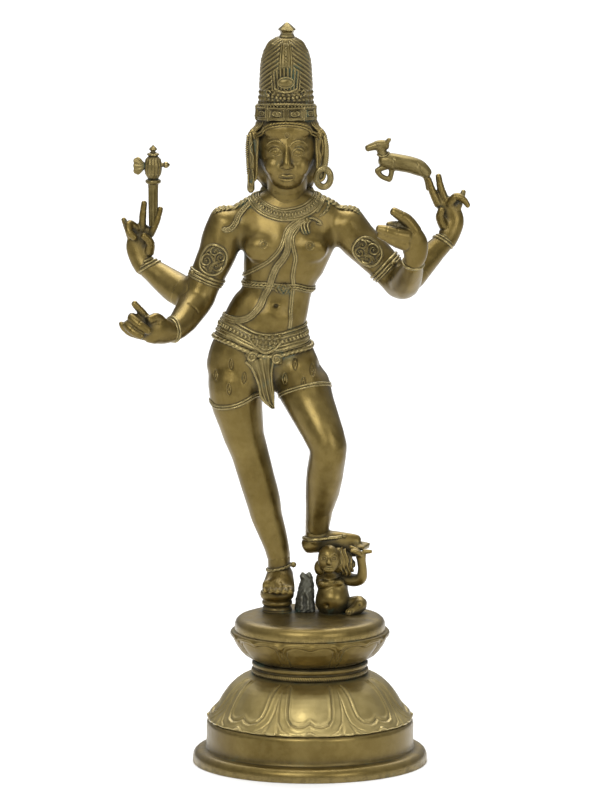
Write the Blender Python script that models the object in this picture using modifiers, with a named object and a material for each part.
"""Brass temple statue: a four-armed standing figure with one foot on a dwarf, on a round lotus pedestal.

Run it with blender --background --python part.py, or from Blender's text editor.

The tables below are in millimetres, measured from the pedestal's own axis: +X is to a viewer's right
as they face the statue, -Y is towards the viewer and +Z is up from the table top. MM turns them into
Blender's metres. "right" and "left" in names are the figure's own right and left, so the right hand
is on the viewer's left. The whole model is moved at the end so that its origin is under the middle of
the statue's bounding box, on the table.

The statue is cast in sections. The founder hides each joint under a raised band: the chest belt, hip
belt, hems, armlets, bangles and anklets. Each section is its own object and keeps GAP to the next.
"""

import math

import bmesh
import bpy
from mathutils import Matrix, Vector
from mathutils.bvhtree import BVHTree

MM = 0.001
GAP = 0.3  # between pieces that touch
PEDESTAL_X = 15.5  # the pedestal's axis from the middle of the whole statue
TURNED_SIDES = 30

# Pedestal heights and radii
FLANGE_R, FLANGE_H = 117.6, 13.5
DRUM_R, DRUM_TOP = 104.0, 43.0
DRUM_WALL, LEDGE_R = 7.0, 90.0
WAIST_R, WAIST_BOTTOM, WAIST_TOP, WAIST_BORE = 58.4, 90.0, 103.5, 46.0
BOWL_R, BOWL_TOP = 80.0, 134.0
DECK_R, DECK_Z, DECK_PLATE = 75.6, 148.2, 5.0
SHELL_WALL = 6.0

# The standing foot's plinth, and the stud that ties it down through the deck
PLINTH_X, PLINTH_Y, PLINTH_TOP = -33.0, 24.0, 171.5
FIGURE_STUD_R, FIGURE_STUD_TOP = 4.0, 192.0
STUD_BOTTOM = 127.0
NUT_H, WASHER_H = 7.0, 1.6

# Stations along each mass: x, y, z, half width seen from the front, half depth
TRUNK = [
    (-48, 22, 384, 50, 24), (-49, 21, 400, 55, 27), (-49, 20, 412, 52, 28),
    (-47.5, 20, 425, 47, 27), (-45.5, 20, 438, 43, 26), (-42, 20, 450, 40, 24),
    (-37.5, 20, 460, 37, 22.5), (-34.5, 20, 469, 34.8, 21.5), (-32.4, 20, 478, 34.4, 22),
    (-30.6, 19.5, 488, 36.4, 24), (-28.5, 19, 498, 39, 26), (-25.5, 18.5, 508, 42, 28),
    (-24, 18, 518, 46, 29), (-23, 18, 528, 50, 28), (-23, 18.5, 538, 54, 25),
    (-23, 19, 546, 57, 22), (-23, 19.5, 554, 57, 20), (-23, 20, 562, 50, 18), (-23, 20, 569, 36, 16),
    (-23, 20, 575, 23, 14),
]
RIGHT_THIGH_AND_CALF = [
    (-70, 22, 398, 26, 25), (-74, 21, 385, 27.5, 27), (-74.5, 20, 376, 27, 27),
    (-73, 20, 360, 25.5, 26), (-69.6, 20, 343.5, 22.6, 24), (-66, 20, 327, 20.2, 22),
    (-60.6, 20, 311, 18.6, 20), (-56, 19, 294.7, 18, 18.5), (-51.6, 20, 278.4, 17.6, 18.5),
    (-47, 22, 262, 17, 19), (-43.6, 22, 245.8, 15.6, 17.5), (-38, 21, 229.4, 14, 15),
    (-33, 20, 213, 12.2, 13), (-31, 20, 202, 11.5, 12.5),
]
LEFT_THIGH_AND_CALF = [
    (-12, 18, 397, 26, 26), (-9, 13, 387, 27, 26), (-5, 4, 377, 26.5, 26),
    (0.5, -8, 364.5, 24, 25), (7.5, -17, 350, 21.8, 24), (14, -25, 336, 20, 22),
    (18.5, -30, 323, 18.6, 19.5), (17, -27, 311, 18, 18.5), (14.5, -17, 293, 18.2, 18.5),
    (12.3, -6, 275, 16.8, 17.5), (9.5, 5, 257, 13.8, 15), (8, 13, 241, 12.3, 12.8),
    (7, 17, 233, 12, 12.5),
]
RIGHT_UPPER_ARM = [
    (-80, 20, 548, 19.5, 18), (-88, 20, 528, 20, 19), (-91.5, 19, 515, 19.2, 18.5),
    (-96.5, 18, 504, 18.2, 17.5), (-101, 17, 494, 17.4, 17), (-106, 16, 484, 17, 16.5),
    (-112, 14, 470, 16.8, 16.5),
]
RIGHT_FRONT_FOREARM = [
    (-109, 16, 473, 16.4, 16), (-114, 10, 465, 16, 16), (-119, 2, 458.5, 15.2, 15.2),
    (-126, -12, 450, 13.8, 13.6), (-133, -24, 444, 12, 12), (-139, -33, 441, 10.4, 10.4),
]
RIGHT_REAR_FOREARM = [
    (-110, 16, 472, 15.5, 15), (-127, 26, 472.5, 16.4, 15), (-144, 37, 482, 14.4, 13),
    (-157, 44, 491, 11.8, 11.2), (-164.8, 47.5, 495, 10.6, 10.2),
]
LEFT_UPPER_ARM = [
    (33, 20, 547, 19.5, 18), (46, 19.5, 528.5, 19.4, 18.5), (57, 18.5, 518, 18.4, 18),
    (68, 17, 507.5, 17.4, 17), (78, 15, 497, 16.6, 16.4), (91, 10, 483, 15.8, 15.8),
]
LEFT_FRONT_FOREARM = [
    (86, 12, 486, 15.4, 15.4), (92, 4, 484, 16, 16), (95, -6, 488, 15.6, 15.6),
    (98, -18, 495, 14, 14), (101, -32, 504.5, 11.6, 11.6), (102.5, -43, 513, 9.8, 9.8),
]
LEFT_REAR_FOREARM = [
    (90, 13, 482, 15, 15), (102, 22, 490, 14.4, 14), (113.5, 30, 501, 13, 12.6),
    (125, 38, 512.5, 11.4, 11), (135, 44, 521, 10.2, 9.8),
]
# Rounded masses laid over the trunk: centre and half sizes
TRUNK_MASSES = [
    ((-46, -2, 521), (21, 10, 15)), ((-2, -2, 521), (21, 10, 15)), ((-42, 4, 449), (27, 9, 20)),
    ((-70, 38, 399), (24, 18, 22)), ((-22, 37, 401), (24, 18, 22)),
]

# Hands: a palm loft, then each finger's joints (x, y, z, radius)
RIGHT_REAR_HAND = {
    "palm": [(-165, 47, 493, 10, 9.4), (-169.5, 49.5, 503, 11.4, 8.4), (-172, 51, 515, 12.4, 7.4),
             (-169, 51.5, 526, 11.6, 6.4), (-165, 51.5, 534, 9, 5)],
    "index": [(-168, 49, 531, 3.3), (-168.4, 47.5, 545, 3.1), (-167, 47.5, 560, 2.4)],
    "middle": [(-160, 49, 527, 3.5), (-154, 47.5, 540, 3.2), (-149.6, 47.5, 554, 2.5)],
    "ring": [(-173, 48, 533, 3.6), (-181, 44, 539, 3.5), (-181, 39, 531, 3.3), (-175, 38, 525, 2.9)],
    "little": [(-180, 50, 525, 3.3), (-184, 50, 536, 2.9), (-187, 49.5, 543, 2.1)],
    "thumb": [(-161, 45, 509, 4.2), (-160, 41, 520, 3.8), (-167, 38.5, 528, 3.1)],
}
RIGHT_FRONT_HAND = {
    "palm": [(-138, -33, 441, 10.2, 9.6), (-145, -41, 443, 12.8, 9), (-153, -48, 445.5, 14, 8.4),
             (-162, -51, 446, 12.4, 7)],
    "index": [(-158, -50, 452, 3.8), (-166, -53, 463, 3.5), (-175, -55, 474, 2.6)],
    "middle": [(-161, -51, 451, 3.9), (-177, -57, 460, 3.9), (-170, -63, 454, 3.7), (-160, -64, 447, 3.2)],
    "ring": [(-163, -50, 444, 3.8), (-181, -55, 453, 3.7), (-176, -61, 447, 3.6), (-167, -63, 442, 3.1)],
    "little": [(-161, -49, 439, 3.7), (-177, -52, 443, 3.3), (-185, -54, 449, 2.7), (-188, -54.5, 454, 2)],
    "thumb": [(-147, -44, 453, 4.6), (-153, -52, 459, 4.2), (-160, -58, 457, 3.3)],
}
LEFT_REAR_HAND = {
    "palm": [(136, 44.5, 520, 9.8, 9), (140, 48, 529, 10.8, 8.2), (143, 50, 541, 11.4, 7.2),
             (139, 51, 552, 11, 6.4), (134, 51, 561, 8.6, 5)],
    "index": [(129, 49, 557, 3.6), (123, 48.5, 570, 3.3), (118.5, 48.5, 584, 2.5)],
    "middle": [(136, 50, 561, 3.5), (131, 50, 574, 3.2), (128.5, 50, 587, 2.5)],
    "ring": [(139, 48, 558, 3.5), (146, 45, 566, 3.4), (153, 43, 564, 3), (158.5, 42, 557, 2.2)],
    "little": [(147, 50, 552, 3.4), (151, 50, 562, 3.1), (154, 50, 571, 2.2)],
    "thumb": [(134, 45, 536, 4.2), (130, 41.5, 546, 3.8), (132, 40, 554, 3)],
}
LEFT_FRONT_HAND = {
    "palm": [(102.5, -43, 513, 9.8, 9.4), (104.5, -47, 522, 12, 9), (103.5, -51, 533, 13.4, 8.4),
             (99, -53.5, 543, 12, 7.4)],
    "index": [(97, -56, 540, 4.4), (84, -60, 542.5, 4.4), (74, -61, 546, 4), (66, -61, 549.5, 2.8)],
    "middle": [(96, -55, 532, 4.2), (84, -57, 535.5, 4.2), (73, -58, 540, 3.8), (67, -58.5, 542.5, 2.8)],
    "ring": [(100, -50, 547, 3.9), (94, -47, 553, 3.6), (85, -46, 556, 3.1), (79, -45.5, 556, 2.2)],
    "little": [(103, -47, 542, 3.5), (99, -42, 549, 3.2), (92, -40, 552, 2.4)],
    "thumb": [(105, -54, 546, 4.6), (96, -55, 557, 4.6), (87, -55, 563, 3.8), (81, -55, 567, 2.6)],
}
HANDS = {
    "right_rear_hand": RIGHT_REAR_HAND, "right_front_hand": RIGHT_FRONT_HAND,
    "left_rear_hand": LEFT_REAR_HAND, "left_front_hand": LEFT_FRONT_HAND,
}

RIGHT_FOOT = [
    (-30, 37, 180, 9.5, 7), (-30, 30, 182.5, 12, 10.5), (-30, 20, 185, 13.4, 13), (-30.5, 10, 183, 14.6, 11),
    (-31, 0, 179.5, 16, 7.5), (-31.5, -8, 177.3, 17, 5.2), (-31.5, -12, 176.6, 16, 4),
]
RIGHT_ANKLE = [(-31, 20, 184, 11.4, 13.5), (-31, 20, 195, 11.2, 12.6), (-31.2, 20, 204, 11.4, 12.4)]
LEFT_FOOT = [
    (-3, 19, 215.5, 8.4, 8.6), (4, 19, 218.5, 10.4, 11), (14, 18.5, 220.5, 11, 11.4),
    (24, 18, 220, 11, 10), (34, 17.5, 218, 11.6, 7.8), (43, 17, 216.4, 11.8, 6.4), (48, 17, 215.6, 11, 5.6),
]
LEFT_ANKLE = [(7.5, 18, 221, 12.4, 12.4), (7.5, 18, 229, 12.2, 12.4), (7.2, 17, 237, 12, 12.2)]
TOE_LENGTH = 9.0

HEAD_CENTRE, HEAD_HALF = (-23, 16, 619), (28.6, 29, 38)
NECK = [(-23, 20, 560, 21, 16.5), (-23, 20, 565, 20, 17), (-23, 18.5, 576, 19.6, 18), (-23, 17, 590, 20, 19)]

DWARF_TRUNK = [
    (22, 23, 148.6, 14.5, 13), (23, 21, 155, 17.8, 16), (23, 20, 163, 17.2, 16.2), (23, 20.5, 172, 15.2, 13.6),
    (22, 20, 180, 15.6, 12), (21, 18.5, 187, 13, 10), (20, 13, 192.5, 8, 7.5),
]
DWARF_HEAD_CENTRE, DWARF_HEAD_HALF = (19, -3.5, 206.5), (11.4, 11, 14)
DWARF_HAIR = [((29, 3, 204), (12, 7, 13)), ((37, 6, 199), (8, 7, 12)), ((10, 4, 196), (6, 6, 8))]
DWARF_ARM = [(33, 19, 184, 6.8, 6.4), (43, 14, 181.5, 6.6, 6.4), (51, 9, 184, 5.8, 5.6), (52.6, 6, 193, 4.8, 4.8),
             (51.6, 4, 203, 4.6, 4.6), (51, 3, 209, 5.6, 5)]
DWARF_THUMB = [(54, 0, 213, 2.8), (61.5, -2, 213.5, 2)]
DWARF_LEG = [(33, 20, 153, 7.4, 6.2), (44, 17, 156.5, 8, 7.8), (50, 14, 157, 8, 7.6), (46, 6, 153, 6, 5.6),
             (38, -1, 150.6, 4, 3.8)]
STRUT = [(-5, 22, 148.8, 10.6, 8), (-5, 22, 160, 9.4, 7), (-3.5, 21, 172, 8, 6.2), (-3, 20, 184, 6, 4.6)]

DEER_BODY = [(70, 50, 604, 6, 6), (78, 50, 602, 7.8, 7), (90, 50, 600, 7.8, 7.4), (102, 50, 597, 7.6, 7),
             (111, 50, 593.5, 7.2, 6.6), (118, 50, 588.5, 4.8, 5)]
DEER_NECK = [(73, 50, 604, 6.4, 5.6), (72, 50, 610, 5, 4.6), (74, 50, 616, 4.6, 4.4)]
DEER_HEAD = [(77, 50, 617.5, 4.8, 4.6), (70, 50, 617.5, 5.4, 4.8), (63, 50, 616, 4.2, 4), (56.5, 50, 614, 3.2, 3)]
DEER_LIMBS = [
    [(76, 48, 619, 2.6), (80, 47, 624, 1.8)],
    [(80, 50, 597, 3.6), (71, 49, 594, 3), (66.5, 48.5, 591.5, 2.6)],
    [(69, 48.5, 592, 2.6), (73, 48.5, 586.5, 2.6), (82, 49, 584, 2.6)],
    [(114, 50, 591, 4.4), (117.5, 50, 583, 3.6), (119, 50, 573, 3)],
]

AXE_X, AXE_Y = -157.0, 49.0

CROWN_X, CROWN_Y = -24.0, 20.0
# Radius and height of the piled hair, then of the knob on top of it
CROWN_PROFILE = [(26.4, 648), (26.6, 658), (27.4, 667), (26, 677), (25.4, 690), (25.2, 699), (24.2, 707.5),
                 (21.6, 716), (17, 724.5), (10, 730.5)]
FINIAL_PROFILE = [(7.6, 730.8), (6.6, 733), (6.8, 735.4), (8.7, 738.2), (5, 742), (0, 745.4)]


def clear_scene():
    for obj in list(bpy.data.objects):
        bpy.data.objects.remove(obj)


def brass(name, colour, roughness):
    material = bpy.data.materials.new(name)
    material.use_nodes = True
    shader = material.node_tree.nodes["Principled BSDF"]
    shader.inputs["Base Color"].default_value = (*colour, 1)
    shader.inputs["Roughness"].default_value = roughness
    shader.inputs["Metallic"].default_value = 1
    return material


clear_scene()
STATUE = bpy.data.collections.new("statue")
HELPERS = bpy.data.collections.new("helpers")
for collection in (STATUE, HELPERS):
    bpy.context.scene.collection.children.link(collection)
CAST = brass("cast_brass", (0.34, 0.25, 0.09), 0.38)
BAND = brass("band_brass", (0.38, 0.29, 0.12), 0.42)
DARK = brass("dark_casting", (0.12, 0.12, 0.10), 0.6)
STEEL = brass("fastener_brass", (0.45, 0.35, 0.15), 0.3)


def mm(point):
    return Vector(point) * MM


def make(name, bm, material=CAST, collection=STATUE):
    """An object from a bmesh, with its faces pointing out."""
    bmesh.ops.recalc_face_normals(bm, faces=bm.faces)
    if bm.calc_volume(signed=True) < 0:
        bmesh.ops.reverse_faces(bm, faces=bm.faces)
    mesh = bpy.data.meshes.new(name)
    bm.to_mesh(mesh)
    bm.free()
    obj = bpy.data.objects.new(name, mesh)
    mesh.materials.append(material)
    collection.objects.link(obj)
    return obj


def apply_modifiers(obj):
    """Replaces an object's mesh with what its modifiers make of it."""
    graph = bpy.context.evaluated_depsgraph_get()
    mesh = bpy.data.meshes.new_from_object(obj.evaluated_get(graph))
    obj.modifiers.clear()
    obj.data = mesh


def hide(obj):
    """Keeps a cutter or guide out of the statue."""
    obj.hide_render = True
    obj.display_type = "WIRE"
    for collection in obj.users_collection:
        collection.objects.unlink(obj)
    HELPERS.objects.link(obj)
    return obj


def between(before, start, end, after, t):
    """A station on the smooth curve from start to end, at share t of the way."""
    return tuple(
        0.5 * (2 * b + (c - a) * t + (2 * a - 5 * b + 4 * c - d) * t * t + (3 * b - a - 3 * c + d) * t**3)
        for a, b, c, d in zip(before, start, end, after)
    )


def refine(stations, steps):
    """The same run of stations with steps stretches between each two, on a smooth curve."""
    padded = [stations[0], *stations, stations[-1]]
    made = [
        between(*padded[i : i + 4], k / steps) for i in range(len(stations) - 1) for k in range(steps)
    ]
    return [*made, tuple(stations[-1])]


def section_axes(centres, index, last_side):
    """The width and depth directions of the section at one station, kept from flipping along the run."""
    ahead = centres[min(index + 1, len(centres) - 1)]
    behind = centres[max(index - 1, 0)]
    along = (ahead - behind).normalized()
    side = Vector((0, 1, 0)).cross(along)
    side = (last_side or Vector((1, 0, 0))) if side.length < 0.05 else side
    side = (side - along * side.dot(along)).normalized()
    if last_side and side.dot(last_side) < 0:
        side = -side
    return side, along.cross(side)


def loft(name, stations, sides=14, steps=2, material=CAST, collection=STATUE):
    """A closed limb through elliptical sections, with a domed cap at each end."""
    stations = refine([s if len(s) == 5 else (*s, s[3]) for s in stations], steps)
    centres = [mm(s[:3]) for s in stations]
    bm = bmesh.new()
    rings, side = [], None
    for index, station in enumerate(stations):
        side, depth = section_axes(centres, index, side)
        ring = []
        for k in range(sides):
            angle = math.tau * k / sides
            offset = side * station[3] * math.cos(angle) + depth * station[4] * math.sin(angle)
            ring.append(bm.verts.new(centres[index] + offset * MM))
        rings.append(ring)
    for low, high in zip(rings, rings[1:]):
        for k in range(sides):
            bm.faces.new((low[k], low[(k + 1) % sides], high[(k + 1) % sides], high[k]))
    for ring, centre, inward, station in (
        (rings[0], centres[0], centres[1], stations[0]),
        (rings[-1], centres[-1], centres[-2], stations[-1]),
    ):
        dome = centre + (centre - inward).normalized() * min(station[3:]) * 0.55 * MM
        middle = [bm.verts.new(v.co.lerp(dome, 0.35) + (dome - centre) * 0.35) for v in ring]
        tip = bm.verts.new(dome)
        for k in range(sides):
            bm.faces.new((ring[k], ring[(k + 1) % sides], middle[(k + 1) % sides], middle[k]))
            bm.faces.new((middle[k], middle[(k + 1) % sides], tip))
    return make(name, bm, material, collection)


def ball(name, centre, half, material=CAST, segments=16):
    bm = bmesh.new()
    bmesh.ops.create_uvsphere(bm, u_segments=segments, v_segments=segments // 2 + 2, radius=1)
    bm.transform(Matrix.LocRotScale(mm(centre), None, mm(half)))
    return make(name, bm, material)


def turned(name, profile, centre=(0, 0), material=CAST, sides=TURNED_SIDES):
    """A closed turned shape: the profile runs once round its section, or starts and ends on the axis."""
    mesh = bpy.data.meshes.new(name)
    count = len(profile)
    on_axis = profile[0][0] < 1e-6 and profile[-1][0] < 1e-6
    edges = [(i, i + 1) for i in range(count - 1)] + ([] if on_axis else [(count - 1, 0)])
    mesh.from_pydata([(r * MM, 0, z * MM) for r, z in profile], edges, [])
    obj = bpy.data.objects.new(name, mesh)
    STATUE.objects.link(obj)
    screw = obj.modifiers.new("turn", "SCREW")
    screw.steps = screw.render_steps = sides
    screw.use_merge_vertices = True
    screw.merge_threshold = 0.00002
    apply_modifiers(obj)
    bm = bmesh.new()
    bm.from_mesh(obj.data)
    bmesh.ops.remove_doubles(bm, verts=bm.verts, dist=0.00002)
    bmesh.ops.recalc_face_normals(bm, faces=bm.faces)
    bm.transform(Matrix.Translation(mm((*centre, 0))))
    bm.to_mesh(obj.data)
    bm.free()
    obj.data.materials.append(material)
    return obj


def post(name, centre, radius, low, high, sides=20, material=STEEL):
    bm = bmesh.new()
    bmesh.ops.create_cone(
        bm, cap_ends=True, segments=sides, radius1=radius * MM, radius2=radius * MM, depth=(high - low) * MM
    )
    bm.transform(Matrix.Translation(mm((*centre, (low + high) / 2))))
    return make(name, bm, material)


def fuse(name, pieces, voxel, rounds, triangles):
    """Joins overlapping masses into one smooth skin, then thins it to about that many triangles."""
    bm = bmesh.new()
    for piece in pieces:
        bm.from_mesh(piece.data)
        bpy.data.objects.remove(piece)
    obj = make(name, bm)
    remesh = obj.modifiers.new("skin", "REMESH")
    remesh.mode, remesh.voxel_size = "VOXEL", voxel * MM
    smooth = obj.modifiers.new("ease", "SMOOTH")
    smooth.factor, smooth.iterations = 0.5, rounds
    apply_modifiers(obj)
    thin(obj, triangles)
    return obj


def thin(obj, triangles):
    obj.data.calc_loop_triangles()
    share = triangles / len(obj.data.loop_triangles)
    if share < 1:
        decimate = obj.modifiers.new("thin", "DECIMATE")
        decimate.ratio = share
        apply_modifiers(obj)
    if not obj.data.materials:
        obj.data.materials.append(CAST)


def swollen(objects, by=GAP):
    """One cutter made of copies of the objects, each a little larger all round."""
    bm = bmesh.new()
    for obj in objects:
        copy = bpy.data.objects.new("swollen", obj.data.copy())
        HELPERS.objects.link(copy)
        grow = copy.modifiers.new("grow", "DISPLACE")
        grow.strength, grow.mid_level = by * MM, 0
        apply_modifiers(copy)
        bm.from_mesh(copy.data)
        bpy.data.objects.remove(copy)
    return hide(make("swollen", bm))


def combine(obj, operation, other):
    """A Boolean with the exact solver, applied."""
    tool = obj.modifiers.new("combine", "BOOLEAN")
    tool.operation, tool.solver, tool.object = operation, "EXACT", other
    apply_modifiers(obj)
    bpy.data.objects.remove(other)


def trim(obj, neighbours, by=2 * GAP):
    """Cuts a piece back from its neighbours, one at a time, and keeps its largest body."""
    for neighbour in neighbours:
        cutter = swollen([neighbour], by)
        if tree_of([obj]).overlap(tree_of([cutter])):
            combine(obj, "DIFFERENCE", cutter)
            keep_largest(obj)
        else:
            bpy.data.objects.remove(cutter)
    return obj


def box_of(obj):
    corners = [vert.co for vert in obj.data.vertices]
    return [(min(c[i] for c in corners) - 2 * GAP * MM, max(c[i] for c in corners) + 2 * GAP * MM) for i in range(3)]


def fit(pieces, name, obj, by=2 * GAP):
    """Adds a piece to the statue, cut back from every earlier piece that it would touch."""
    mine = box_of(obj)
    near = [
        other for other in pieces.values()
        if all(a[0] < b[1] and b[0] < a[1] for a, b in zip(mine, box_of(other)))
    ]
    pieces[name] = trim(obj, near, by)


def bodies_of(bm):
    """The separate bodies of a bmesh, as lists of faces that meet along shared edges."""
    left, found = set(bm.faces), []
    while left:
        stack, body = [left.pop()], []
        while stack:
            face = stack.pop()
            body.append(face)
            for edge in face.edges:
                if len(edge.link_faces) != 2:
                    continue
                for other in edge.link_faces:
                    if other in left:
                        left.remove(other)
                        stack.append(other)
        found.append(body)
    return found


def keep_largest(obj):
    bm = bmesh.new()
    bm.from_mesh(obj.data)
    bmesh.ops.remove_doubles(bm, verts=bm.verts, dist=0.000003)
    bmesh.ops.dissolve_degenerate(bm, edges=bm.edges, dist=0.000003)
    bodies = sorted(bodies_of(bm), key=lambda body: sum(face.calc_area() for face in body))
    loose = [face for body in bodies[:-1] for face in body]
    bmesh.ops.delete(bm, geom=loose, context="FACES")
    bm.to_mesh(obj.data)
    bm.free()


def saw(obj, centre, normal, radius, kerf=GAP):
    """A thin round cut across one limb."""
    bm = bmesh.new()
    bmesh.ops.create_cone(
        bm, cap_ends=True, segments=24, radius1=radius * MM, radius2=radius * MM, depth=kerf * MM
    )
    turn = Vector(normal).to_track_quat("Z", "Y").to_matrix().to_4x4()
    bm.transform(Matrix.Translation(mm(centre)) @ turn)
    combine(obj, "DIFFERENCE", hide(make("saw", bm)))


def split(obj, seeds):
    """Makes each separate body its own object, named for the seed point that lies nearest its middle."""
    bm = bmesh.new()
    bm.from_mesh(obj.data)
    bodies = [body for body in bodies_of(bm) if len(body) > 20]
    made = {}
    for body in bodies:
        middle = sum((face.calc_center_median() for face in body), Vector()) / len(body)
        name = min(seeds, key=lambda n: (mm(seeds[n]) - middle).length)
        kept = {face.index for face in body}
        part = bm.copy()
        part.faces.ensure_lookup_table()
        others = [face for face in part.faces if face.index not in kept]
        bmesh.ops.delete(part, geom=others, context="FACES")
        made[name] = make(name, part)
    bm.free()
    bpy.data.objects.remove(obj)
    return made


def tree_of(objects):
    bm = bmesh.new()
    for obj in objects:
        bm.from_mesh(obj.data)
    tree = BVHTree.FromBMesh(bm)
    bm.free()
    return tree


def reach_of_skin(tree, start, out, up, section, limit=62):
    """How far out the skin comes anywhere under the width of a band."""
    low, high = min(h for _, h in section), max(h for _, h in section)
    steps = [low + (high - low) * k / 6 + 0.07 for k in range(7)]
    hits = [tree.ray_cast(start + up * step * MM, out)[3] for step in steps]
    return min(max(hit for hit in hits if hit is not None), limit * MM)


def band(name, tree, centre, normal, section, rise=lambda angle: 0.0, count=24, limit=62):
    """A closed band round a limb. section lists (out from the skin, along the normal) in millimetres,
    and rise gives how far the band climbs along the normal at each angle round the limb."""
    up = Vector(normal).normalized()
    across = Vector((1, 0, 0)) if abs(up.x) < 0.8 else Vector((0, 0, 1))
    across = (across - up * across.dot(up)).normalized()
    front = up.cross(across)
    bm = bmesh.new()
    rings = []
    for k in range(count):
        angle = math.tau * k / count
        out = across * math.cos(angle) + front * math.sin(angle)
        start = mm(centre) + up * rise(angle) * MM
        skin = start + out * reach_of_skin(tree, start, out, up, section, limit)
        rings.append([bm.verts.new(skin + out * o * MM + up * h * MM) for o, h in section])
    for low, high in zip(rings, rings[1:] + rings[:1]):
        for k in range(len(section)):
            after = (k + 1) % len(section)
            bm.faces.new((low[k], low[after], high[after], high[k]))
    return make(name, bm, BAND)


def half_round(width, thickness, clearance=0.7):
    """The section of a plain raised band."""
    return [(clearance, -width / 2), (thickness, -width * 0.3), (thickness, width * 0.3), (clearance, width / 2)]


def frame_on(tree, point):
    """The nearest place on the skin to a point in millimetres, and the way out from there."""
    place, normal = tree.find_nearest(mm(point))[:2]
    out = mm(point) - place
    return place, normal if out.dot(normal) >= 0 or out.length < 0.002 else out.normalized()


def strap(name, tree, points, width, thickness, steps=3, closed=False, lift=0.6, material=BAND):
    """A flat strap laid on the skin along a run of points."""
    run = [*points, points[0]] if closed else list(points)
    run = refine([tuple(p) for p in run], steps)
    if closed:
        run = run[:-1]
    places = [frame_on(tree, point) for point in run]
    count = len(places)
    bm = bmesh.new()
    rings = []
    for index, (place, out) in enumerate(places):
        ahead = places[(index + 1) % count if closed else min(index + 1, count - 1)][0]
        behind = places[index - 1 if closed or index else 0][0]
        side = (ahead - behind).cross(out).normalized()
        shares = (-1, 0, 1)
        near = [place + side * width / 2 * share * MM for share in shares]
        skin = [tree.find_nearest(point)[0] for point in near]
        ring = [bm.verts.new(p + out * lift * MM) for p in skin]
        ring += [bm.verts.new(skin[k] + out * (thickness - 0.4 * abs(shares[k])) * MM) for k in (2, 1, 0)]
        rings.append(ring)
    pairs = list(zip(rings, rings[1:] + rings[:1])) if closed else list(zip(rings, rings[1:]))
    for low, high in pairs:
        for k in range(6):
            bm.faces.new((low[k], low[(k + 1) % 6], high[(k + 1) % 6], high[k]))
    if not closed:
        for ring in (rings[0], rings[-1]):
            bm.faces.new(ring)
    return make(name, bm, material)


# Pedestal ------------------------------------------------------------------------------------------


def pedestal():
    inner = DRUM_R - DRUM_WALL
    turned("pedestal_base", [
        (FLANGE_R, 0), (FLANGE_R, FLANGE_H - 3), (FLANGE_R - 3, FLANGE_H), (DRUM_R + 1, FLANGE_H + 0.5),
        (DRUM_R, FLANGE_H + 2), (DRUM_R, DRUM_TOP - 2), (DRUM_R - 2, DRUM_TOP), (LEDGE_R, DRUM_TOP),
        (LEDGE_R, DRUM_TOP - 5), (inner, DRUM_TOP - 9), (inner, 0),
    ])
    outer = [(101, DRUM_TOP + GAP), (102.5, 46), (95.5, 53), (89.5, 61), (84.5, 69), (78, 77), (68, 85),
             (59, WAIST_BOTTOM - 1), (57, WAIST_BOTTOM)]
    turned("lower_lotus", outer + [
        (50, WAIST_BOTTOM), (61, 79.5), (71.5, 72), (78.5, 64), (83, 56), (89, 49), (93, DRUM_TOP + GAP),
    ])
    turned("waist_ring", [
        (55, WAIST_BOTTOM + GAP), (57.5, 91.5), (WAIST_R, 94.5), (57.2, 97.5), (55.5, 98.4), (57, 100.4),
        (56, 102.8), (54, WAIST_TOP), (WAIST_BORE, WAIST_TOP), (WAIST_BORE, WAIST_BOTTOM + GAP),
    ])
    turned("upper_lotus", [
        (54, WAIST_TOP + GAP), (60, 106), (66.5, 110.5), (72, 118), (76.5, 125), (BOWL_R, 130.5),
        (BOWL_R - 0.5, 132.5), (76.6, BOWL_TOP), (69, BOWL_TOP), (70, 126), (65, 118), (59, 112),
        (48, WAIST_TOP + GAP),
    ])
    under = DECK_Z - DECK_PLATE
    deck = turned("deck_plate", [
        (0, DECK_Z), (66, DECK_Z), (71.5, DECK_Z - 1), (74.6, DECK_Z - 3.6), (DECK_R, DECK_Z - 7),
        (DECK_R, BOWL_TOP + GAP), (DECK_R - 5, BOWL_TOP + GAP), (DECK_R - 5, under), (0, under),
    ])
    hole = post("hole", (PLINTH_X, PLINTH_Y), FIGURE_STUD_R + GAP, under - 5, DECK_Z + 5)
    combine(deck, "DIFFERENCE", hide(hole))


def plinth():
    base = DECK_Z + GAP
    made = turned("foot_plinth", [
        (0, PLINTH_TOP), (13.5, PLINTH_TOP), (16, 168.5), (17, 164.5), (15.6, 160.5), (14.4, 158.6),
        (15, 157.6), (15.2, 155.4), (13.4, 153), (14.6, 151.6), (15, 149), (15, base), (0, base),
    ], (PLINTH_X, PLINTH_Y), sides=20)
    bore = post("bore", (PLINTH_X, PLINTH_Y), FIGURE_STUD_R + GAP, base - 5, PLINTH_TOP + 5)
    combine(made, "DIFFERENCE", hide(bore))
    return made


def clamp_set():
    """A stud up through the deck, with the washer and hexagon nut that draw it down from below."""
    place, radius = (PLINTH_X, PLINTH_Y), FIGURE_STUD_R
    washer_top = DECK_Z - DECK_PLATE - GAP
    nut_top = washer_top - WASHER_H - GAP
    post("plinth_stud", place, radius, STUD_BOTTOM, FIGURE_STUD_TOP)
    for name, outer, sides, low, high in (
        ("plinth_washer", radius * 2.2, 20, washer_top - WASHER_H, washer_top),
        ("plinth_nut", radius * 2, 6, nut_top - NUT_H, nut_top),
    ):
        piece = post(name, place, outer, low, high, sides)
        combine(piece, "DIFFERENCE", hide(post("bore", place, radius + GAP, low - 2, high + 2)))


# Figure --------------------------------------------------------------------------------------------

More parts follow.
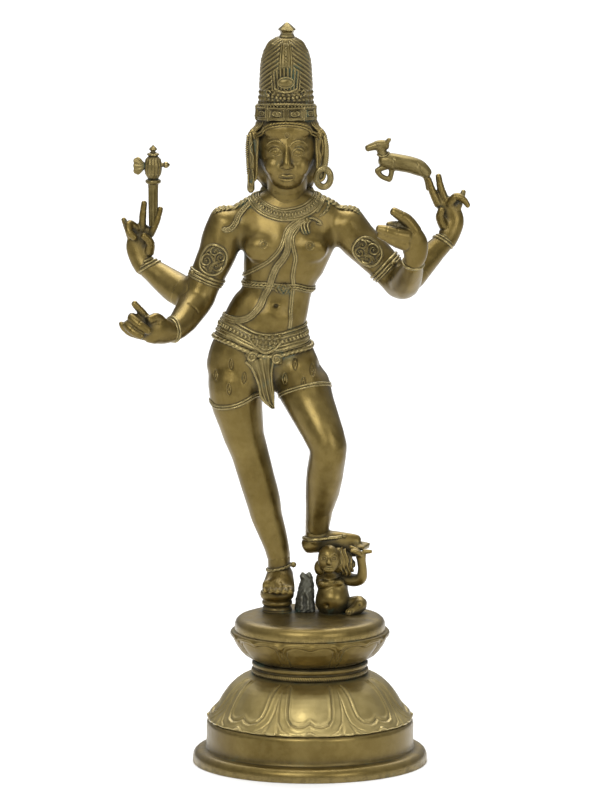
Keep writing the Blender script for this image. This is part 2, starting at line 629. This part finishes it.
SAW_CUTS = [
    ((-33.5, 20, 479.5), (0.05, 0, 1), 49), ((-47, 20, 433), (0.05, 0, 1), 58),
    ((-73, 20, 363), (-0.15, 0, 1), 33), ((-6, 0, 376), (-0.2, 0.3, 1), 32),
    ((-102, 17, 490.5), (0.39, 0, 0.92), 22.5), ((73.5, 16, 499.8), (-0.7, 0.1, 0.7), 22),
    ((-129, 27.5, 475), (-0.78, 0.5, 0.38), 20), ((108, 26, 495.5), (0.62, 0.45, 0.65), 18),
]
SECTIONS = {
    "torso": (-24, 18, 520), "abdomen": (-41, 20, 455), "hips": (-42, 18, 398),
    "right_leg": (-52, 20, 280), "left_leg": (12, -12, 300), "right_front_forearm": (-120, 2, 460),
    "right_rear_forearm": (-148, 38, 482), "left_front_forearm": (92, -4, 490),
    "left_rear_forearm": (125, 36, 508),
}
BODY_TRIANGLES = 2600


def body():
    runs = (TRUNK, RIGHT_THIGH_AND_CALF, LEFT_THIGH_AND_CALF, RIGHT_UPPER_ARM, RIGHT_FRONT_FOREARM,
            RIGHT_REAR_FOREARM, LEFT_UPPER_ARM, LEFT_FRONT_FOREARM, LEFT_REAR_FOREARM)
    masses = [loft("mass", run, sides=18, steps=3) for run in runs]
    masses += [ball("mass", centre, half) for centre, half in TRUNK_MASSES]
    skin = fuse("figure", masses, 2.0, 8, BODY_TRIANGLES)
    for centre, normal, radius in SAW_CUTS:
        saw(skin, centre, normal, radius)
    return split(skin, SECTIONS)


def hands(sections):
    made = {}
    for name, hand in HANDS.items():
        masses = [loft("palm", hand["palm"], sides=14, steps=3)]
        fingers = [run for part, run in hand.items() if part != "palm"]
        masses += [loft("finger", [(x, y, z, r * 1.15) for x, y, z, r in run], sides=8, steps=3) for run in fingers]
        made[name] = fuse(name, masses, 1.0, 2, 400)
        trim(made[name], [sections[name.replace("hand", "forearm")]])
    return made


def toes(foot, across, along):
    """Five short toes side by side at the front of a foot, the big toe first."""
    made = []
    for index in range(5):
        share = (index - 2) / 2
        start = Vector(foot) + Vector(across) * share
        reach = TOE_LENGTH * (1.25 - 0.13 * index)
        end = start + Vector(along) * reach
        size = 3.4 - 0.3 * index
        made.append(loft("toe", [(*start, size), (*((start + end) / 2), size * 0.95), (*end, size * 0.8)],
                         sides=8, steps=1))
    return made


def feet(sections):
    right = fuse("right_foot", [
        loft("sole", RIGHT_FOOT), loft("ankle", RIGHT_ANKLE), *toes((-32.5, -11, 176), (-12.6, 0, 0), (0, -1, -0.05)),
    ], 1.2, 3, 340)
    left = fuse("left_foot", [
        loft("sole", LEFT_FOOT), loft("ankle", LEFT_ANKLE), *toes((47, 17, 215.2), (0, -8.6, 0), (1, -0.1, -0.05)),
    ], 1.2, 3, 340)
    trim(right, [sections["right_leg"]])
    trim(left, [sections["left_leg"]])
    socket = post("socket", (PLINTH_X, PLINTH_Y), FIGURE_STUD_R + GAP, PLINTH_TOP - 5, FIGURE_STUD_TOP + GAP)
    combine(right, "DIFFERENCE", hide(socket))
    return right, left


def head(sections):
    nose = [(-23, -11, 624, 2.6), (-23, -14.5, 614, 3.2), (-23, -14, 609, 4)]
    masses = [
        ball("skull", HEAD_CENTRE, HEAD_HALF, segments=24), loft("neck", NECK),
        loft("nose", nose, sides=8), ball("chin", (-23, -4, 591), (11, 10, 8)),
        ball("right_ear", (-54, 20, 617), (5.4, 7, 15)), ball("left_ear", (8, 20, 617), (5.4, 7, 15)),
        ball("back_hair", (-23, 31, 606), (36, 19, 36)), ball("nape", (-23, 38, 580), (26, 10, 14)),
    ]
    made = fuse("head", masses, 1.5, 3, 600)
    return trim(made, [sections["torso"]])


def crown(face):
    piled = turned("crown", [(0, CROWN_PROFILE[-1][1]), *reversed(CROWN_PROFILE), (0, CROWN_PROFILE[0][1])],
                   (CROWN_X, CROWN_Y), sides=24)
    trim(piled, [face])
    turned("crown_finial", [(0, FINIAL_PROFILE[-1][1]), *reversed(FINIAL_PROFILE[:-1]), (0, FINIAL_PROFILE[0][1])],
           (CROWN_X + 1, CROWN_Y), sides=20)
    return piled


def dwarf(pieces):
    """The dwarf under the left foot: he sits on the deck and holds the foot up with one arm."""
    trunk = fuse("dwarf_body", [loft("trunk", DWARF_TRUNK, sides=16)], 1.4, 2, 300)
    flat_bottom(trunk, DECK_Z + GAP)
    face = [ball("skull", DWARF_HEAD_CENTRE, DWARF_HEAD_HALF)]
    face += [ball("hair", centre, half) for centre, half in DWARF_HAIR]
    face += [loft("nose", [(19, -13, 209, 1.8), (19, -14.5, 205, 2.4), (19, -13, 203, 2.2)], sides=8)]
    fit(pieces, "dwarf_body", trunk)
    fit(pieces, "dwarf_head", fuse("dwarf_head", face, 1.2, 2, 300))
    arm = fuse("dwarf_arm", [loft("arm", DWARF_ARM), loft("thumb", DWARF_THUMB, sides=8)], 1.0, 2, 220)
    fit(pieces, "dwarf_arm", arm)
    leg = fuse("dwarf_leg", [loft("leg", DWARF_LEG)], 1.2, 2, 180)
    flat_bottom(leg, DECK_Z + GAP)
    fit(pieces, "dwarf_leg", leg)
    strut = fuse("casting_strut", [loft("strut", STRUT, sides=10)], 1.4, 1, 120)
    strut.data.materials[0] = DARK
    flat_bottom(strut, DECK_Z + GAP)
    fit(pieces, "casting_strut", strut)


BELTS = {
    # name: middle, direction of the limb, width, thickness, how far the back stands above the front
    "chest_belt": ((-33.5, 20, 479.5), (0.05, 0, 1), 8, 2.6, -2.5),
    "upper_hip_belt": ((-47, 20, 432), (0.05, 0, 1), 12, 3.4, 3),
    "lower_hip_belt": ((-47, 20, 420), (0.12, 0, 1), 7, 3, 5),
    "right_hem": ((-73, 20, 363), (-0.15, 0, 1), 4.6, 2.2, 0),
    "left_hem": ((-6, 0, 376), (-0.2, 0.3, 1), 4.6, 2.2, 0),
    "right_armlet": ((-102, 17, 490.5), (0.39, 0, 0.92), 7, 3, 0),
    "left_armlet": ((73.5, 16, 499.8), (-0.7, 0.1, 0.7), 7, 3, 0),
    "right_front_bangle": ((-138.2, -33, 441), (-0.8, -0.6, 0), 11, 2.8, 0),
    "right_rear_bangle": ((-165.6, 47.3, 496), (-0.45, 0.2, 0.87), 9, 2.8, 0),
    "left_front_bangle": ((102.5, -43.5, 513), (0.1, -0.45, 0.9), 8, 2.8, 0),
    "left_rear_bangle": ((136.4, 44.7, 521), (0.5, 0.35, 0.8), 8, 2.8, 0),
    "right_anklet": ((-30.6, 20, 194), (-0.22, 0, 1), 5, 2.8, 0),
    "left_anklet": ((9, 18, 224.5), (-0.06, 0, 1), 5, 2.8, 0),
}
BAND_HOLDERS = {
    "chest_belt": ("torso", "abdomen"), "upper_hip_belt": ("abdomen", "hips"), "lower_hip_belt": ("hips",),
    "right_hem": ("hips", "right_leg"), "left_hem": ("hips", "left_leg"),
    "right_armlet": ("torso", "right_front_forearm"), "left_armlet": ("torso", "left_front_forearm"),
    "right_front_bangle": ("right_front_forearm", "right_front_hand"),
    "right_rear_bangle": ("right_rear_forearm", "right_rear_hand"),
    "left_front_bangle": ("left_front_forearm", "left_front_hand"),
    "left_rear_bangle": ("left_rear_forearm", "left_rear_hand"),
    "right_anklet": ("right_foot", "right_leg"), "left_anklet": ("left_foot", "left_leg"),
}
INSTEP_REACH = 25.0  # the left anklet crosses the instep instead of following the foot
CRESTS = {"right_armlet": ((-96, -3.5, 508), 13), "left_armlet": ((57, -2.5, 516), 13)}


def bands(pieces):
    for name, (middle, along, width, thickness, climb) in BELTS.items():
        holders = [pieces[holder] for holder in BAND_HOLDERS[name]]
        count = 26 if width > 6 and climb else 16
        made = band(name, tree_of(holders), middle, along, half_round(width, thickness),
                    lambda angle: climb * math.sin(angle), count, INSTEP_REACH if name == "left_anklet" else 62)
        if name in CRESTS:
            place, radius = CRESTS[name]
            crest = ball("crest", place, (radius, 3.4, radius), segments=12)
            combine(made, "UNION", hide(crest))
        fit(pieces, name, made, GAP)


def neck_ornaments(pieces):
    """The broad collar, and the sacred thread that hangs from the left shoulder round the right side."""
    chest = tree_of([pieces["torso"], pieces["abdomen"]])
    ring = [(-23, -8, 553), (-40, -4, 557), (-52, 5, 563), (-58, 20, 569), (-48, 36, 568), (-23, 42, 567),
            (2, 36, 568), (12, 20, 569), (6, 5, 563), (-6, -4, 557)]
    collar = strap("collar", chest, ring, 12, 2.8, 2, closed=True)
    fit(pieces, "collar", collar)
    thread = [(6, -6, 543), (-4, -12, 531), (-16, -12, 512), (-28, -12, 499), (-41, -10, 486.5),
              (-58, -4, 462), (-68, 2, 451)]
    cord = strap("sacred_thread", chest, thread, 5, 3, 2)
    fit(pieces, "sacred_thread", cord, GAP)


def loose_ornaments(pieces):
    """Locks of hair on the shoulders, the loin flap and its clasp, the tassel and the earrings."""
    runs = {
        "right_shoulder_lock": [(-64, 14, 572, 6, 5), (-76, 6, 566, 6.4, 4.4), (-88, 4, 558, 6.4, 4), (-97, 5, 549, 4.5, 3)],
        "left_shoulder_lock": [(20, 14, 572, 6, 5), (34, 6, 567, 6.4, 4.4), (47, 4, 559, 6.4, 4), (56, 5, 549, 4.5, 3)],
        "shoulder_tassel": [(-63, -2, 560, 2.4, 2.4), (-72, -5, 549, 3.4, 2.4), (-77, -6, 538, 3.6, 2.4), (-79, -6, 532, 2.4, 2)],
        "belt_clasp": [(-43, -9, 436, 7, 3), (-43, -11, 428, 9.5, 4), (-43.5, -10, 420, 8, 4), (-43.5, -9, 413, 6, 3)],
        "loin_flap": [(-43.5, -10, 408, 9, 2.4), (-42, -12, 392, 9, 2.4), (-39, -12, 376, 6.4, 2.2), (-36.5, -11, 364, 3, 2)],
    }
    for name, stations in runs.items():
        fit(pieces, name, loft(name, stations, sides=10, steps=1, material=BAND), GAP)
    right = [(-60, 10, 634, 3), (-62, 8, 620, 4.2), (-61, 6, 602, 5), (-59.6, 5, 588, 4.6), (-59, 4, 578, 2.4)]
    fit(pieces, "right_earring", loft("right_earring", right, sides=10, steps=1, material=BAND))
    bm = bmesh.new()
    rings = []
    for k in range(14):
        angle = math.tau * k / 14
        out = Vector((math.cos(angle), 0, math.sin(angle)))
        centre = mm((13.4, 5, 591)) + Vector((out.x * 6.8, 0, out.z * 8.8)) * MM
        rings.append([bm.verts.new(centre + (out * math.cos(t) + Vector((0, 1, 0)) * math.sin(t)) * 3 * MM)
                      for t in (math.tau * j / 8 for j in range(8))])
    for low, high in zip(rings, rings[1:] + rings[:1]):
        for j in range(8):
            bm.faces.new((low[j], low[(j + 1) % 8], high[(j + 1) % 8], high[j]))
    ring = make("left_earring", bm, BAND)
    combine(ring, "UNION", hide(loft("chain", [(16, 8, 632, 2.6), (17, 6, 616, 3), (14.8, 5, 600, 3.4)], sides=8, steps=1)))
    fit(pieces, "left_earring", ring)


def diadem(pieces):
    """The jewelled band round the foot of the piled hair, with its tall plaque in front."""
    section = [(0.6, -13), (3, -13), (3.6, -8), (2.6, -1), (0.6, -1)]
    made = band("diadem", tree_of([pieces["crown"]]), (CROWN_X, CROWN_Y, 663), (0, 0, 1), section, count=24)
    combine(made, "UNION", hide(ball("plaque", (CROWN_X, CROWN_Y - 28.5, 662), (8, 3, 10), segments=12)))
    fit(pieces, "diadem", made, GAP)
    medallion = ball("crown_medallion", (CROWN_X, CROWN_Y - 26.5, 688), (8.3, 3, 5.4), BAND, 12)
    fit(pieces, "crown_medallion", medallion, GAP)


def attributes(pieces):
    """The axe in the right rear hand and the leaping deer in the left one."""
    axe = turned("axe", [
        (0, 618), (1.8, 615.5), (4, 613.6), (2.6, 610.8), (5.6, 608), (8.2, 602), (8.6, 594.6), (7.4, 587.4),
        (5, 583.6), (7.6, 582), (7.6, 579.4), (4.8, 577.8), (4.6, 558), (4.2, 536), (0, 535),
    ], (AXE_X, AXE_Y), BAND, 12)
    combine(axe, "UNION", hide(ball("blade", (-170.5, AXE_Y, 596.6), (8.4, 3, 9), segments=10)))
    combine(axe, "UNION", hide(ball("knob", (-146, AXE_Y, 597.6), (5, 3.6, 3.4), segments=8)))
    fit(pieces, "axe", axe)
    masses = [loft("mass", DEER_BODY), loft("mass", DEER_NECK), loft("mass", DEER_HEAD, sides=10)]
    masses += [loft("mass", run, sides=8) for run in DEER_LIMBS]
    deer = fuse("deer", masses, 1.1, 1, 420)
    deer.data.materials[0] = BAND
    fit(pieces, "deer", deer)


def flat_bottom(obj, height):
    """Cuts off whatever lies below a height."""
    bm = bmesh.new()
    bmesh.ops.create_cube(bm, size=0.2)
    bm.transform(Matrix.Translation((mm((0, 0, height)) - Vector((0, 0, 0.1)))))
    combine(obj, "DIFFERENCE", hide(make("floor", bm)))


def main():
    pedestal()
    standing = plinth()
    clamp_set()
    pieces = body()
    pieces |= hands(pieces)
    pieces["foot_plinth"] = standing
    right, left = feet(pieces)
    fit(pieces, "right_foot", right)
    fit(pieces, "left_foot", left)
    pieces["head"] = head(pieces)
    pieces["crown"] = crown(pieces["head"])
    diadem(pieces)
    bands(pieces)
    neck_ornaments(pieces)
    loose_ornaments(pieces)
    attributes(pieces)
    dwarf(pieces)
    for obj in STATUE.objects:
        obj.data.transform(Matrix.Translation(mm((PEDESTAL_X, 0, 0))))


main()
